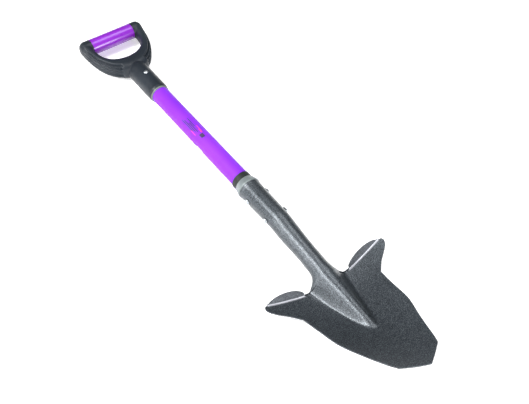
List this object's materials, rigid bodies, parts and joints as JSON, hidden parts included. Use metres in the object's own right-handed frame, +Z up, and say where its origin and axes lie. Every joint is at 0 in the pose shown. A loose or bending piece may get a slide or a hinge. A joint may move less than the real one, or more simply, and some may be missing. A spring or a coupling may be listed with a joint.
{
  "type": "detecting shovel",
  "caption": "D-handled digging shovel with a fibreglass shaft and a pressed steel pointed blade with winged foot treads, for recovering buried finds.",
  "frame": {"origin": "on the floor under the middle of the shovel's bounding box, with the shovel lying on its back", "axes": "+Y from the blade's tip to the D handle, +X across the blade, +Z up, away from the floor, on the side of the blade's hollow face"},
  "size_m": [0.2532, 0.9712, 0.077],
  "materials": {
    "hammered_steel": "hammered powder coat, dark grey with silver speckle, semi-gloss",
    "collar_metal": "plain light grey enamel, satin",
    "ferrule_rubber": "smooth matte black",
    "fibreglass": "glossy purple gel coat over fibreglass",
    "core_wood": "raw turned hardwood",
    "bright_steel": "bright zinc-plated steel",
    "black_nylon": "moulded slate-black nylon, satin",
    "grip_plastic": "smooth glossy purple plastic",
    "plain_steel": "drawn mild steel tube",
    "decal_film": "clear-backed printed film with plain bars",
    "sticker_film": "blank white paper-faced sticker"
  },
  "bodies": {
    "root": {"blade_head": "hammered_steel", "socket_collar": "collar_metal", "shaft_ferrule": "ferrule_rubber", "shaft_tube": "fibreglass", "lower_core_plug": "core_wood", "upper_core_plug": "core_wood", "socket_rivet_upper": "bright_steel", "socket_rivet_washer_upper": "bright_steel", "socket_rivet_lower": "bright_steel", "socket_rivet_washer_lower": "bright_steel", "handle_yoke": "black_nylon", "grip_sleeve": "grip_plastic", "grip_core_tube": "plain_steel", "yoke_pin": "bright_steel", "yoke_pin_washer": "bright_steel", "shaft_decal": "decal_film", "blank_sticker": "sticker_film"}
  },
  "joints": []
}
